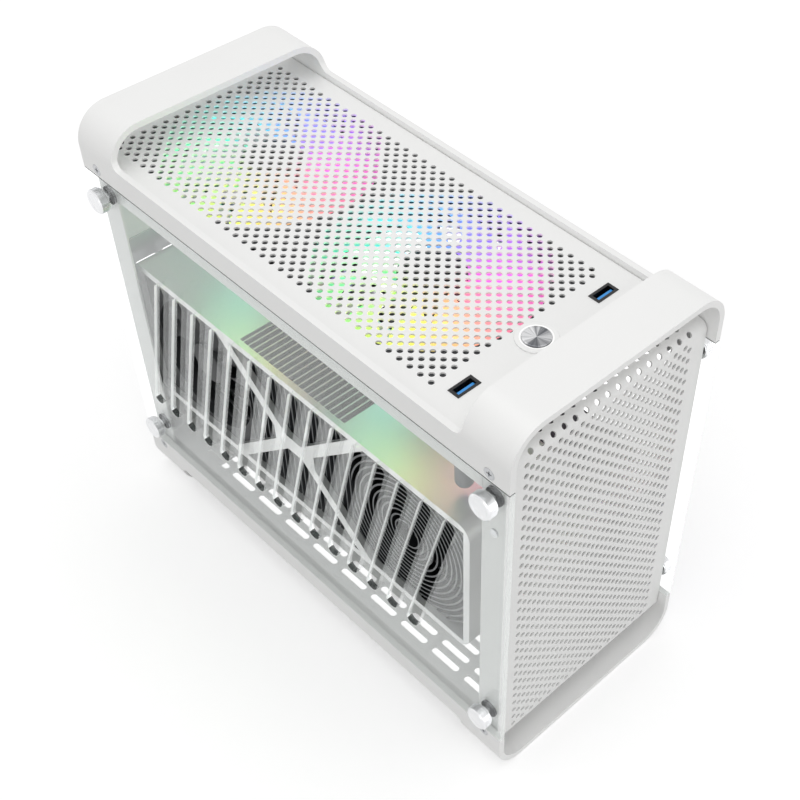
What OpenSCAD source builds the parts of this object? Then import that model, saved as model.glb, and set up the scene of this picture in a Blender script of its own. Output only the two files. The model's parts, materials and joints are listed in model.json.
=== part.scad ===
// Small desktop computer case with glass sides, a perforated top and front, and a
// vertical graphics card behind the slotted glass. Millimetres, +Z up, origin on the
// floor under the middle of the case. The front faces -Y and the slotted glass -X.

/* [Case] */
// Overall length, front edge to rear edge of the bands
case_length = 360; // [350:2:400]
// Overall width across the two glass panels
case_width = 160; // [158:1:180]
// Overall height, feet to handles
case_height = 304; // [300:1:330]
// Thickness of the steel sheet of the chassis
sheet = 1.2; // [1:0.1:1.5]

/* [Bands] */
// Wall thickness of the top and bottom bands
band_wall = 4; // [3.5:0.1:4.5]
// Outer radius of the bends of the bands
band_bend = 22; // [16:1:24]
// Height of each band
band_height = 37; // [34:0.5:40]
// Length of each handle and foot along the case
arch_length = 34; // [28:1:38]
// How far handles and feet stand past the side walls of the bands
arch_rise = 22; // [18:1:24]
// Fillet where a handle or foot grows out of the side wall
arch_fillet = 6; // [2:1:10]

/* [Perforated sheets] */
// Depth of the top plate below the handles
plate_drop = 26; // [25.5:0.5:30]
// Height of the underside of the base tray above the floor
floor_height = 26; // [25.5:0.5:30]
// Depth of the front grille behind the front edges of the bands
end_inset = 6.3; // [4:0.1:9]
// Distance of the rear panel from the rear edges of the bands
rear_inset = 3; // [2.5:0.1:6]
// Outer radius of the fold of the front grille
fold_radius = 6; // [5:0.5:8]
// Gap between the top plate and the bands
plate_gap = 0.6; // [0.3:0.1:1]
// Pitch of the perforation along a row
hole_pitch = 8; // [7:0.5:12]
// Diameter of the perforation
hole_d = 3.5; // [2.5:0.1:4.2]
// Plain border between the perforation and the edge of the sheet
hole_border = 13.4; // [12:0.1:18]
// Plain length of the top plate between the hood and the perforation
plain_length = 40.3; // [39:0.1:50]

/* [Glass] */
// Thickness of each glass panel
glass_t = 4; // [3:0.5:4.5]
// Gap between the glass and the bands
glass_gap = 0.7; // [0.4:0.1:1.5]
// Thickness of the rubber washers behind the glass
washer_t = 1.5; // [1.2:0.1:2]
// Number of slanted slots in the left panel
slot_count = 15; // [5:1:15]
// Pitch of the slots
slot_pitch = 18.5; // [16:0.5:19]
// Width of a slot
slot_w = 9.3; // [5:0.1:10]
// Height between the end centres of a slot
slot_rise = 117.4; // [60:1:130]
// How far a slot leans along the case
slot_lean = 33.5; // [0:0.5:36]
// Height of the lower end centre of the slots above the lower glass edge
slot_base = 49.3; // [30:0.1:60]

/* [Thumbscrews] */
// Diameter of a thumbscrew head
thumb_d = 16; // [12:0.5:18]
// Height of a thumbscrew head
thumb_h = 6.5; // [4:0.5:12]
// Diameter of the threaded shanks
shank_d = 4; // [3:0.5:5]
// Distance of the fixing screws from the ends of the case
screw_inset = 14.5; // [13.5:0.5:16]
// Distance of the thumbscrews from the glass edge
thumb_inset = 15.3; // [12:0.1:20]

/* [Front ports] */
// Distance of the button and ports in front of the perforation
port_offset = 13.8; // [13.2:0.1:16]
// Distance between the two ports
port_spacing = 104; // [60:1:110]
// Diameter of the power button
button_d = 16.2; // [12:0.1:17]
// Travel of the power button
button_travel = 1.2; // [0.6:0.1:2]
// Outer diameter of the button ring
ring_d = 24; // [22:0.5:26]

/* [Fans] */
// Smallest gap between the rear fan and the rear panel; it and the width set the fan size
fan_end_gap = 5; // [4:0.5:15]
// Thickness of the top fans
fan_t = 25; // [20:1:25]
// Number of blades of every fan
blade_count = 9; // [5:1:11]

/* [Graphics card] */
// Length of the graphics card
card_length = 311; // [280:0.5:314]
// Height of the graphics card
card_height = 112; // [100:1:118]
// Thickness of the graphics card
card_t = 50; // [44:1:50]
// Gap between the card and the plane of the chassis webs
card_gap = 4.5; // [3:0.5:8]
// Height of the card above the base tray
card_lift = 57.8; // [55:0.2:62]
// Corner radius of the card frame
card_corner = 10; // [4:1:14]

/* [Board and supply] */
// Side of the square main board
board_side = 170; // [165:1:172]
// Height of the main board above the base tray
board_lift = 20; // [16:1:24]
// Length of the power supply along the case
supply_length = 100; // [90:1:105]
// Width of the power supply across the case
supply_w = 63.5; // [58:0.5:66]
// Height of the power supply
supply_h = 125; // [110:1:130]

/* [Hidden] */
$fn = 64;
tiny = 0.01;

// Places shared by the pieces
hl = case_length / 2;
hw = case_width / 2;
x_in = hw - band_wall;
x_web = hw - glass_t - washer_t;
z_plate = case_height - plate_drop;
z_under = z_plate - sheet;
z_tray = floor_height + sheet;
y_front = -(hl - end_inset);
y_rear = hl - rear_inset;
z_glass = band_height + glass_gap;
glass_h = case_height - 2 * z_glass;
slot_shift = 9.7;
flange = 16.5;
post_leg = 10;
boss_d = 9;
web_y = y_rear - sheet - flange;

// Perforation
half = hole_pitch / 2;
mesh_w = 2 * (x_in - plate_gap - hole_border);
hole_cols = floor((mesh_w - half) / hole_pitch) + 1;
mesh_x = -((hole_cols - 1) * hole_pitch + half) / 2;
y_mesh = -(hl - arch_length - plain_length);
top_rows = floor((y_rear - sheet - y_mesh - hole_d) / half) + 1;
grille_h = z_plate - fold_radius - floor_height;
row_drop = 1.8;
front_rows = floor((grille_h - row_drop - 3) / half) + 1;
lip_row = 2;

// Screws
y_screw = hl - screw_inset;
z_thumb = z_glass + thumb_inset;
band_screw_drop = 4.3;
z_band = band_height - band_screw_drop;
pillar_screw_drop = 29;
washer_d = 12;
fit_gap = 0.2;

// Ports
y_port = y_mesh - port_offset;
port_w = 16.3;
port_l = 8;
port_depth = 18;
usb_w = 12.6;
usb_l = 5.2;
ring_body = 19;
cap_h = 6;
switch_h = 8.8;
ring_depth = cap_h + switch_h + button_travel;

// Fans
fan_lead = 3.5;
rail_lip = 5.2;
rail_gap = 0.8;
// Room for two fans along the case, and for one between the rails
fan_along = (y_rear - sheet - fan_end_gap - y_mesh + fan_lead) / 2;
fan_across = 2 * (x_in - rail_lip - rail_gap);
fan_size = min(fan_along, fan_across);
fan_y = y_mesh - fan_lead + fan_size / 2;
fan_wall = 3;
hub_d = 40;
fan_pin = 4;
pin_gap = 0.08;
rest_gap = 0.3;

// Graphics card
x_card = -(x_web - card_gap);
x_card_in = x_card + card_t;
bracket_t = 1.2;
y_bracket = y_rear - sheet - bracket_t;
y_card_end = y_bracket - 6;
y_card = y_card_end - card_length;
z_card = z_tray + card_lift;
card_wall = 4;
rim = 5;
y_cross = y_card + card_length / 2;
z_cross = z_card + card_height / 2;
card_fan_d = 90;
duct_wall = 3;
card_fan_inset = 59;
card_blow_inset = 57;
y_card_fan = y_card_end - card_fan_inset;
y_card_blow = y_card + card_blow_inset;
riser_l = 92;
riser_w = 9.6;
x_board = x_card_in - 8;
fin_half = y_card_fan - card_fan_d / 2 - duct_wall - y_cross;
fin_pitch = 4.7;
fin_t = 1.2;
ring_h = 12;
ring_first = 9.4;
ring_pitch = 4;
x_fins = x_card + card_wall + 0.3;

// Divider, board and supply
x_div = -14;
x_div_out = x_div + sheet;
divider_h = 196;
standoff = 6.5;
board_hole = 12;
board_t = 1.6;
x_main = x_div_out + standoff;
x_top = x_main + board_t;
y_main = y_rear - sheet - 2 - board_side;
z_main = z_tray + board_lift;
y_supply = -(hl - 24);
z_supply = z_tray + 33;
guard_t = 1.6;
lead_d = 7;
cooler_y = 82;
cooler_z = 100;
cooler_side = 84;
cooler_base = 9;
cooler_fin_h = 26;
cooler_pin = 3;
cooler_fan_d = 88;
cooler_fan_t = 14;
small_hub = 30;
supply_fan_d = 80;
supply_fan_t = 12;
supply_hub = 28;

// Flat outlines

module stadium(a, b, w) {
  // Slot outline between two end centres
  d = b - a;
  translate(a) rotate(atan2(d[1], d[0])) {
    circle(d = w);
    translate([norm(d), 0]) rotate(180) circle(d = w);
    translate([0, -w / 2]) square([norm(d), w]);
  }
}

module round_rect(w, h, r) {
  translate([r, 0]) square([w - 2 * r, h]);
  translate([0, r]) square([w, h - 2 * r]);
  for (x = [r, w - r], y = [r, h - r]) translate([x, y]) circle(r = r);
}

module arch_outline(w, h, r) {
  // Flat sides, rounded at the two upper corners, standing on y = 0
  intersection() {
    translate([-w / 2, 0]) square([w, h]);
    translate([-w / 2, h - 2 * r - 1]) round_rect(w, 2 * r + 1, r);
  }
  translate([-w / 2, 0]) square([w, max(tiny, h - r)]);
}

module lattice(cols, rows) {
  for (r = [0 : rows - 1], c = [0 : cols - 1])
    translate([mesh_x + c * hole_pitch + (r % 2) * half, r * half]) circle(d = hole_d, $fn = 16);
}

// Turning an outline drawn in X and Z, or in Y and Z, into a solid

module along_y(y, length) {
  translate([0, y + length, 0]) rotate([90, 0, 0]) linear_extrude(length) children();
}

module along_x(x, length) {
  translate([x, 0, 0]) rotate([90, 0, 90]) linear_extrude(length) children();
}

module both_sides() {
  children();
  mirror([1, 0, 0]) children();
}

// Holes and posts lying along X, outwards from the middle on the -X side

module rod_x(x, length, y, z, d) {
  translate([x, y, z]) rotate([0, 90, 0]) cylinder(d = d, h = length);
}

module band() {
  // A bent strip with a handle at each end, open below
  notch = 2 * (hl - arch_length);
  low = band_height - arch_rise;
  difference() {
    along_y(-hl, case_length) difference() {
      arch_outline(case_width, band_height, band_bend);
      translate([0, -tiny])
        arch_outline(2 * x_in, band_height - band_wall + tiny, band_bend - band_wall);
    }
    along_x(-hw - 1, case_width + 2) {
      translate([-notch / 2 + arch_fillet, low])
        square([notch - 2 * arch_fillet, arch_rise + 1]);
      translate([-notch / 2, low + arch_fillet]) square([notch, arch_rise - arch_fillet + 1]);
      for (s = [-1, 1])
        translate([s * (notch / 2 - arch_fillet), low + arch_fillet]) circle(r = arch_fillet);
    }
    for (y = [-y_screw, y_screw], s = [0, 1]) mirror([s, 0, 0]) {
      rod_x(-hw - 1, band_wall + 2, y, band_height - z_band, shank_d + 2 * fit_gap);
      translate([-hw - tiny, y, band_height - z_band]) rotate([0, 90, 0])
        rotate_extrude() polygon([[0, 0], [3.9, 0], [2.2, 1.8], [0, 1.8]]);
    }
  }
}

module top_band() {
  color("white") translate([0, 0, case_height - band_height]) band();
}

module bottom_band() {
  color("white") translate([0, 0, band_height]) mirror([0, 0, 1]) band();
}

// Perforated sheets

module port_holes() {
  for (s = [-1, 1]) translate([s * port_spacing / 2 - (port_w - 2) / 2, y_port - (port_l - 2) / 2])
    square([port_w - 2, port_l - 2]);
  translate([0, y_port]) circle(d = ring_body + 2 * fit_gap);
}

module top_plate() {
  w = 2 * (x_in - plate_gap);
  y0 = -(hl - arch_length + 4) + rest_gap;
  color("white") translate([0, 0, z_under]) linear_extrude(sheet) difference() {
    translate([-w / 2, y0]) square([w, y_rear - y0]);
    translate([0, y_mesh]) lattice(hole_cols, top_rows);
    port_holes();
  }
}

module front_grille() {
  w = 2 * (x_in - plate_gap);
  color("white") translate([0, y_front + sheet, floor_height]) rotate([90, 0, 0])
    linear_extrude(sheet) difference() {
      translate([-w / 2, 0]) square([w, grille_h]);
      translate([0, grille_h - row_drop]) mirror([0, 1]) lattice(hole_cols, front_rows);
    }
}

module front_hood() {
  // Fold above the front grille and the strip that runs back under the handle
  w = 2 * (x_in - plate_gap);
  y_fold = y_front + fold_radius;
  z_fold = z_plate - fold_radius;
  y1 = -(hl - arch_length + 4);
  color("white") {
    difference() {
      along_x(-w / 2, w) difference() {
        intersection() {
          translate([y_fold, z_fold]) circle(r = fold_radius);
          translate([y_front, z_fold]) square(fold_radius);
        }
        translate([y_fold, z_fold]) circle(r = fold_radius - sheet);
      }
      for (c = [0 : hole_cols - 1]) translate([mesh_x + half + c * hole_pitch, y_fold, z_fold])
        rotate([45, 0, 0]) cylinder(d = hole_d, h = 2 * fold_radius, $fn = 16);
    }
    translate([0, 0, z_under]) linear_extrude(sheet) difference() {
      translate([-w / 2, y_fold]) square([w, y1 - y_fold]);
      for (c = [0 : hole_cols - 1]) translate([mesh_x + c * hole_pitch, y_fold + lip_row])
        circle(d = hole_d, $fn = 16);
    }
  }
}

module base_tray() {
  w = 2 * x_in;
  y0 = y_front + sheet;
  length = y_rear - sheet - y0;
  rise = band_height - floor_height - 1.5;
  row_pitch = 9;
  vent_pitch = 30;
  vent_half = 9.6;
  vent_w = 4.5;
  rows = floor((w - 24) / row_pitch);
  vents = floor((length - 40) / vent_pitch);
  color("white") difference() {
    along_y(y0, length) difference() {
      translate([-w / 2, floor_height]) square([w, rise]);
      translate([-w / 2 + sheet, z_tray]) square([w - 2 * sheet, rise]);
    }
    translate([0, 0, floor_height - 1]) linear_extrude(sheet + 2)
      for (r = [0 : rows - 1], c = [0 : vents - 1])
        translate([(r - (rows - 1) / 2) * row_pitch, (c - (vents - 1) / 2) * vent_pitch - 4])
          stadium([0, -vent_half], [0, vent_half], vent_w);
    for (y = [-y_screw, y_screw], s = [0, 1]) mirror([s, 0, 0])
      rod_x(-x_in - 1, sheet + 2, y, z_band, shank_d + 2 * fit_gap);
  }
}

// Chassis pieces that carry the glass, each with raised seats for the band screws

module web_holes(y) {
  for (z = [z_thumb, case_height - z_thumb, z_band, case_height - z_band])
    rod_x(-x_in - 1, x_in - x_web + sheet + 2, y, z, shank_d + 2 * pin_gap);
}

module web_bosses(y) {
  // The lower seat would meet the tray flange, so only the upper one is raised
  rod_x(-x_in, x_in - x_web + tiny, y, case_height - z_band, boss_d);
}

module front_pillars() {
  y0 = y_front + sheet;
  z_fold = z_plate - fold_radius;
  color("white") both_sides() difference() {
    union() {
      along_x(-x_web, sheet) {
        translate([y0, z_tray]) square([flange, z_fold - z_tray]);
        translate([y0 + fold_radius - sheet, z_fold - 1])
          square([flange - fold_radius + sheet, z_under - z_fold + 1]);
        intersection() {
          translate([y0 + fold_radius - sheet, z_fold]) circle(r = fold_radius - sheet);
          translate([y0, z_fold - 1]) square([flange, fold_radius]);
        }
      }
      translate([-x_web, y0, z_tray]) cube([post_leg, sheet, z_fold - z_tray]);
      web_bosses(-y_screw);
    }
    web_holes(-y_screw);
    rod_x(-x_web - 1, sheet + 2, -y_screw, case_height - z_thumb - pillar_screw_drop, 3 + 2 * pin_gap);
  }
}

module rear_panel() {
  y0 = y_rear - sheet;
  io = io_box();
  color("white") difference() {
    union() {
      translate([-x_web, y0, z_tray]) cube([2 * x_web, sheet, z_under - z_tray]);
      both_sides() {
        translate([-x_web, web_y, z_tray]) cube([sheet, flange + sheet, z_under - z_tray]);
        web_bosses(y_screw);
      }
    }
    both_sides() web_holes(y_screw);
    translate([io[0], y0 - 1, io[1]]) cube([io[2], sheet + 2, io[3]]);
    translate([x_card + 1, y0 - 1, z_card + 4]) cube([card_t - 6, sheet + 2, card_height - 8]);
    translate([inlet_x(), y0 - 1, inlet_z()]) cube([inlet_w, sheet + 2, inlet_h]);
    along_y(y0 - 1, sheet + 2) for (r = [0 : 4], c = [0 : 8])
      translate([-40 + 10 * c + 5 * (r % 2), z_under - 36 + 6 * r]) circle(d = 5);
  }
}

module top_rails() {
  // Folded rails: a flange under the plate, a web behind the glass and a lip
  y0 = y_front + sheet + flange + rest_gap;
  z_low = case_height - band_height - 18;
  step = case_height - band_height + 1;
  color("white") both_sides() along_y(y0, web_y - rest_gap - y0) {
    translate([-x_in, z_under - sheet]) square([x_in - fan_size / 2 - rail_gap, sheet]);
    translate([-x_in, step]) square([sheet, z_under - step]);
    translate([-x_in, step]) square([x_in - x_web + sheet, sheet]);
    translate([-x_web, z_low]) square([sheet, step + sheet - z_low]);
    translate([-x_web, z_low]) square([8, sheet]);
  }
}

module divider() {
  y0 = y_supply - 4;
  color("white") difference() {
    translate([x_div, y0, z_tray]) cube([sheet, y_rear - sheet - y0, divider_h]);
    translate([x_div - 1, y_main + 54, z_tray + 3]) cube([sheet + 2, 96, 12]);
    for (y = [board_hole, board_side - board_hole], z = [board_hole, board_side - board_hole])
      rod_x(x_div - 1, sheet + 2, y_main + y, z_main + z, 3 + 2 * pin_gap);
  }
}

// Glass

module glass_outline() {
  translate([-hl, z_glass]) square([case_length, glass_h]);
}

module glass_holes() {
  for (y = [-y_screw, y_screw], z = [z_thumb, case_height - z_thumb])
    translate([y, z]) circle(d = shank_d + 1);
}

module glass_left() {
  z0 = z_glass + slot_base;
  y0 = -slot_pitch * (slot_count - 1) / 2 - slot_lean / 2 + slot_shift;
  color("lightcyan", 0.4) along_x(-hw, glass_t) difference() {
    glass_outline();
    glass_holes();
    for (i = [0 : slot_count - 1])
      stadium([y0 + i * slot_pitch + slot_lean, z0], [y0 + i * slot_pitch, z0 + slot_rise], slot_w);
  }
}

module glass_right() {
  color("lightcyan", 0.4) along_x(hw - glass_t, glass_t) difference() {
    glass_outline();
    glass_holes();
  }
}

module thumbscrew(y, z) {
  // The head clamps the glass, the shank runs into the web behind it
  rod_x(-hw - thumb_h, thumb_h - 0.8, y, z, thumb_d);
  rod_x(-hw - 0.9, 0.9, y, z, thumb_d - 1.6);
  rod_x(-hw - 1, hw - x_web + sheet + 4, y, z, shank_d);
}

module thumbscrews_left() {
  color("silver") for (y = [-y_screw, y_screw], z = [z_thumb, case_height - z_thumb]) thumbscrew(y, z);
}

module thumbscrews_right() {
  color("silver") mirror([1, 0, 0])
    for (y = [-y_screw, y_screw], z = [z_thumb, case_height - z_thumb]) thumbscrew(y, z);
}

module glass_washers() {
  color("dimgray") both_sides()
    for (y = [-y_screw, y_screw], z = [z_thumb, case_height - z_thumb]) difference() {
      rod_x(-x_web - washer_t, washer_t, y, z, washer_d);
      rod_x(-x_web - washer_t - 1, washer_t + 2, y, z, shank_d + 1);
    }
}

module band_screws() {
  // Countersunk screws through the bands into the chassis
  color("silver") both_sides() for (y = [-y_screw, y_screw], z = [z_band, case_height - z_band])
    translate([-hw, y, z]) rotate([0, 90, 0]) difference() {
      rotate_extrude() polygon([
        [0, 0.1], [3.6, 0.1], [shank_d / 2 - 0.1, 1.7],
        [shank_d / 2 - 0.1, band_wall + x_in - x_web + sheet + 2],
        [0, band_wall + x_in - x_web + sheet + 2]]);
      for (a = [0, 90]) rotate(a) translate([-1.8, -0.35, 0]) cube([3.6, 0.7, 1]);
    }
}

module pillar_screws() {
  color("silver") both_sides() {
    rod_x(-x_web - 1, 1, -y_screw, case_height - z_thumb - pillar_screw_drop, 5.2);
    rod_x(-x_web - 0.5, sheet + 4, -y_screw, case_height - z_thumb - pillar_screw_drop, 3);
  }
}

// Button and ports

module power_button() {
  stem = ring_depth - cap_h + 3;
  color("silver") translate([0, y_port, z_plate + 1.6 - cap_h]) {
    cylinder(d = button_d, h = cap_h);
    translate([0, 0, -stem]) cylinder(d = 4, h = stem + 1);
  }
}

module button_ring() {
  color("white") translate([0, y_port, z_plate]) difference() {
    union() {
      cylinder(d = ring_d, h = 1);
      translate([0, 0, -ring_depth]) cylinder(d = ring_body, h = ring_depth + 0.5);
    }
    translate([0, 0, -ring_depth + 2]) cylinder(d = button_d + 2 * rest_gap, h = ring_depth);
    translate([0, 0, -ring_depth - 1]) cylinder(d = 4 + 2 * pin_gap, h = 4);
  }
}

module both_ports() {
  for (s = [-1, 1]) translate([s * port_spacing / 2, y_port, z_plate]) children();
}

module usb_shells() {
  color("black") both_ports() difference() {
    union() {
      translate([-port_w / 2, -port_l / 2, 0]) cube([port_w, port_l, 0.4]);
      translate([-(port_w - 2) / 2 + fit_gap, -(port_l - 2) / 2 + fit_gap, -port_depth])
        cube([port_w - 2 - 2 * fit_gap, port_l - 2 - 2 * fit_gap, port_depth + 0.2]);
    }
    translate([-usb_w / 2, -usb_l / 2 + 0.3, -port_depth + 4]) cube([usb_w, usb_l - 0.6, port_depth]);
  }
}

module usb_tongues() {
  color("royalblue") both_ports()
    translate([-5.8, -usb_l / 2 + 0.5, -port_depth + 4]) cube([11.6, 2.3, port_depth - 4.6]);
}

module usb_housings() {
  // Moulded ends of the port leads, hanging under the ports
  d = 11;
  drop = z_plate - port_depth - z_card - card_height - d;
  color("dimgray") both_ports() translate([0, 0, -port_depth - drop]) {
    cylinder(d = d, h = drop);
    sphere(d = d);
  }
}

// Fans

module fan_blades(hub, tip, h, count) {
  intersection() {
    difference() {
      cylinder(d = tip, h = h);
      translate([0, 0, -1]) cylinder(d = hub - 2, h = h + 2);
    }
    for (i = [0 : count - 1]) rotate(i * 360 / count) translate([hub / 2 - 2, 0, h / 2])
      rotate([38, 0, 0]) translate([0, -h, -0.75]) cube([tip / 2, 2 * h, 1.5]);
  }
}

module rotor(hub, tip, h, pin) {
  // Hub with a blind bore for the pin, open at the bottom
  difference() {
    union() {
      cylinder(d = hub, h = h);
      translate([0, 0, 1]) fan_blades(hub, tip, h - 2, blade_count);
    }
    translate([0, 0, -1]) cylinder(d = pin + 2 * pin_gap, h = h - 2);
  }
}

module fan_frame() {
  // Square frame with a motor plate on four spokes, standing on z = 0
  bore = fan_size - 2 * fan_wall;
  hole = fan_size / 2 - 7.5;
  linear_extrude(fan_t) difference() {
    translate([-fan_size / 2, -fan_size / 2]) round_rect(fan_size, fan_size, 6);
    circle(d = bore);
    for (x = [-hole, hole], y = [-hole, hole]) translate([x, y]) circle(d = 4.3);
  }
  cylinder(d = hub_d, h = 3);
  for (a = [0 : 3]) rotate(45 + 90 * a)
    translate([hub_d / 2 - 1, -2, 0]) cube([(bore - hub_d) / 2 + 2, 4, 3]);
  cylinder(d = fan_pin, h = fan_t - 5);
}

module at_fan(i) {
  translate([0, fan_y + i * fan_size, z_under - fan_t]) children();
}

module fan_frame_rear() {
  color("dimgray") at_fan(1) fan_frame();
}

module fan_frame_front() {
  color("dimgray") at_fan(0) fan_frame();
}

module top_rotor(i) {
  at_fan(i) translate([0, 0, 3 + rest_gap]) rotor(hub_d, fan_size - 2 * fan_wall - 3, fan_t - 5, fan_pin);
}

module fan_rotor_rear() {
  color("aquamarine") top_rotor(1);
}

module fan_rotor_front() {
  color("violet") top_rotor(0);
}

// Graphics card

module card_outline(inset) {
  translate([y_card + inset, z_card + inset])
    round_rect(card_length - 2 * inset, card_height - 2 * inset, card_corner - inset);
}

module card_windows() {
  // Two end windows and two middle ones, parted by crossing arms
  y0 = y_card + rim;
  y1 = y_card_end - rim;
  z0 = z_card + rim;
  z1 = z_card + card_height - rim;
  arm = 6;
  for (s = [0, 1]) translate([y_cross, 0]) mirror([s, 0]) translate([-y_cross, 0]) polygon([
    [y0, z0], [y_cross - 62 - arm, z0], [y_cross - 13 - arm, z_cross - arm],
    [y_cross - 13 - arm, z_cross + arm], [y_cross - 62 - arm, z1], [y0, z1]]);
  for (s = [0, 1]) translate([0, z_cross]) mirror([0, s]) translate([0, -z_cross]) polygon([
    [y_cross - 62 + arm, z1], [y_cross - 13 + arm, z_cross + arm],
    [y_cross + 13 - arm, z_cross + arm], [y_cross + 62 - arm, z1]]);
}

module card_frame() {
  color("silver") difference() {
    along_x(x_card, card_t - 2) card_outline(0);
    along_x(x_card + card_wall, card_t) card_outline(card_wall - 1);
    along_x(x_card - 1, card_wall + 2) card_windows();
    translate([x_card + card_wall, y_cross - fin_half, z_card - 1])
      cube([card_t, 2 * fin_half, card_height + 2]);
    translate([x_board - 6, y_card_end - 92, z_card - 1]) cube([16, 86, 8]);
    translate([x_board - 0.3, y_card_end - 5, z_card + 12]) cube([2.2, 6, card_height - 24]);
  }
}

module card_fins() {
  // Upright fins in the middle, on four pipes that run forwards behind the ring fins
  depth = x_board - 3 - x_fins;
  count = floor((2 * fin_half - fin_t) / fin_pitch);
  y_pipe = y_card_blow - 25;
  color("dimgray") {
    for (i = [0 : count]) translate([x_fins, y_cross - fin_half + i * fin_pitch, z_card + 1])
      cube([depth, fin_t, card_height - 2]);
    for (x = [x_fins + ring_h + 3, x_fins + depth - 8], z = [z_cross - 30, z_cross + 30])
      translate([x, y_pipe, z]) rotate([-90, 0, 0])
        cylinder(d = 6, h = y_cross + fin_half - 2 - y_pipe);
  }
}

module ring_area() {
  intersection() {
    card_outline(card_wall - 0.5);
    translate([y_card, z_card]) square([y_cross - fin_half - 1 - y_card, card_height]);
  }
}

module card_rings() {
  // Ring fins round the blower behind the front window, on eight arms
  color("dimgray") {
    along_x(x_fins, ring_h) intersection() {
      translate([y_card_blow, z_cross]) for (r = [ring_first : ring_pitch : 65]) difference() {
        circle(r = r + 1.2);
        circle(r = r);
      }
      ring_area();
    }
    along_x(x_fins + 7, 4) intersection() {
      translate([y_card_blow, z_cross]) for (a = [0 : 45 : 135]) rotate(a)
        translate([-75, -1.5]) square([150, 3]);
      ring_area();
    }
  }
}

module card_duct() {
  // Black plate behind the rear window, round opening and motor spokes
  x0 = x_card + card_wall;
  color("black") {
    along_x(x0, 2) difference() {
      intersection() {
        card_outline(card_wall - 0.7);
        translate([y_cross + fin_half + 1, z_card]) square([card_length, card_height]);
      }
      translate([y_card_fan, z_cross]) circle(d = card_fan_d + 4);
    }
    along_x(x0, 16) translate([y_card_fan, z_cross]) difference() {
      circle(d = card_fan_d + 2 * duct_wall);
      circle(d = card_fan_d + 4);
    }
    rod_x(x0 + 13, 3, y_card_fan, z_cross, 30);
    for (a = [0 : 2]) translate([x0 + 13, y_card_fan, z_cross]) rotate([120 * a, 0, 0])
      translate([0, 12, -2]) cube([3, card_fan_d / 2 - 9.5, 4]);
    rod_x(x0 + 5, 9, y_card_fan, z_cross, 3);
  }
}

module card_fan_rear() {
  color("black") translate([x_card + card_wall + 13 - rest_gap, y_card_fan, z_cross])
    rotate([0, -90, 0]) rotor(30, card_fan_d, 11, 3);
}

module card_backplate() {
  // Far side of the card, with the round opening of the second fan
  color("silver") {
    along_x(x_card_in - 2, 2) difference() {
      card_outline(0);
      translate([y_card_blow, z_cross]) circle(d = card_fan_d + 4);
    }
    rod_x(x_card_in - 2, 2, y_card_blow, z_cross, 30);
    for (a = [0 : 2]) translate([x_card_in - 2, y_card_blow, z_cross]) rotate([120 * a, 0, 0])
      translate([0, 12, -2]) cube([2, card_fan_d / 2 - 9, 4]);
    rod_x(x_card_in - 12, 11, y_card_blow, z_cross, 3);
  }
}

module card_fan_front() {
  color("black") translate([x_card_in - 2 - rest_gap, y_card_blow, z_cross])
    rotate([0, -90, 0]) rotor(30, card_fan_d, 13, 3);
}

module card_board() {
  y0 = y_cross - 30;
  color("darkgreen") translate([x_board, 0, 0]) {
    translate([0, y0, z_card + 5]) cube([1.6, y_card_end - y0 - 5.2, card_height - 10]);
    translate([0, y_card_end - 90, z_card - 6]) cube([1.6, 82, 12]);
    translate([0, y_card_end - 8, z_card + 13]) cube([1.6, y_bracket - y_card_end + 8, card_height - 26]);
    translate([-3, y0 + 30, z_card + 8]) cube([3.1, 60, card_height - 16]);
    for (z = [z_card + 12, z_card + card_height - 22]) translate([1.5, y_cross - 20, z])
      cube([x_card_in - 2 - x_board - 1.5, 10, 10]);
  }
}

module card_bracket() {
  y0 = y_bracket;
  color("silver") difference() {
    translate([x_card - 1, y0, z_card - 5]) cube([card_t + 2, bracket_t, card_height + 14]);
    along_y(y0 - 1, bracket_t + 2) for (i = [0 : 6], j = [0, 1])
      translate([x_card + 5 + 20 * j, z_card + 10 + 14 * i]) round_rect(16, 8, 2);
  }
}

module riser_socket() {
  color("black") difference() {
    translate([x_board - 4, y_card_end - 3 - riser_l, z_tray])
      cube([riser_w, riser_l, card_lift - 1]);
    translate([x_board - pin_gap, y_card_end + 1.8 - riser_l, z_card - 6.2])
      cube([board_t + 2 * pin_gap, riser_l - riser_w, 9]);
  }
}

module riser_ribbon() {
  // Flat cable from the socket through the divider to the board slot
  y0 = y_main + 60;
  x0 = x_board - 4 + riser_w;
  z0 = z_tray + 6;
  color("black") along_y(y0, 84) {
    translate([x0, z0]) square([x_top + 9 - x0, 1.5]);
    translate([x_top + 7.5, z0]) square([1.5, z_main + 6 - z0]);
  }
}

// Main board and what is on it

module main_board() {
  color("darkgreen") difference() {
    translate([x_main, y_main, z_main]) cube([board_t, board_side, board_side]);
    for (y = [board_hole, board_side - board_hole], z = [board_hole, board_side - board_hole])
      rod_x(x_main - 1, board_t + 2, y_main + y, z_main + z, 3 + 2 * pin_gap);
  }
}

module board_standoffs() {
  color("goldenrod")
    for (y = [board_hole, board_side - board_hole], z = [board_hole, board_side - board_hole])
    translate([0, y_main + y, z_main + z]) {
      rod_x(x_div_out, standoff, 0, 0, 6);
      rod_x(x_div - 2, standoff + sheet + board_t + 3, 0, 0, 3);
      rod_x(x_top, 2, 0, 0, 5.5);
    }
}

function io_box() = [x_top - 1, z_main + 4, 44.5, 158.8 * board_scale];

module io_shield() {
  b = io_box();
  y0 = y_rear - sheet;
  color("silver") difference() {
    translate([b[0] + 0.2, y0 - 0.2, b[1] + 0.2]) cube([b[2] - 0.4, 1, b[3] - 0.4]);
    for (p = port_list) translate([x_top + p[0] - 0.2, y0 - 1, z_main + p[1] - 0.2])
      cube([p[2] + 0.4, 4, p[3] + 0.4]);
  }
}

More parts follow.
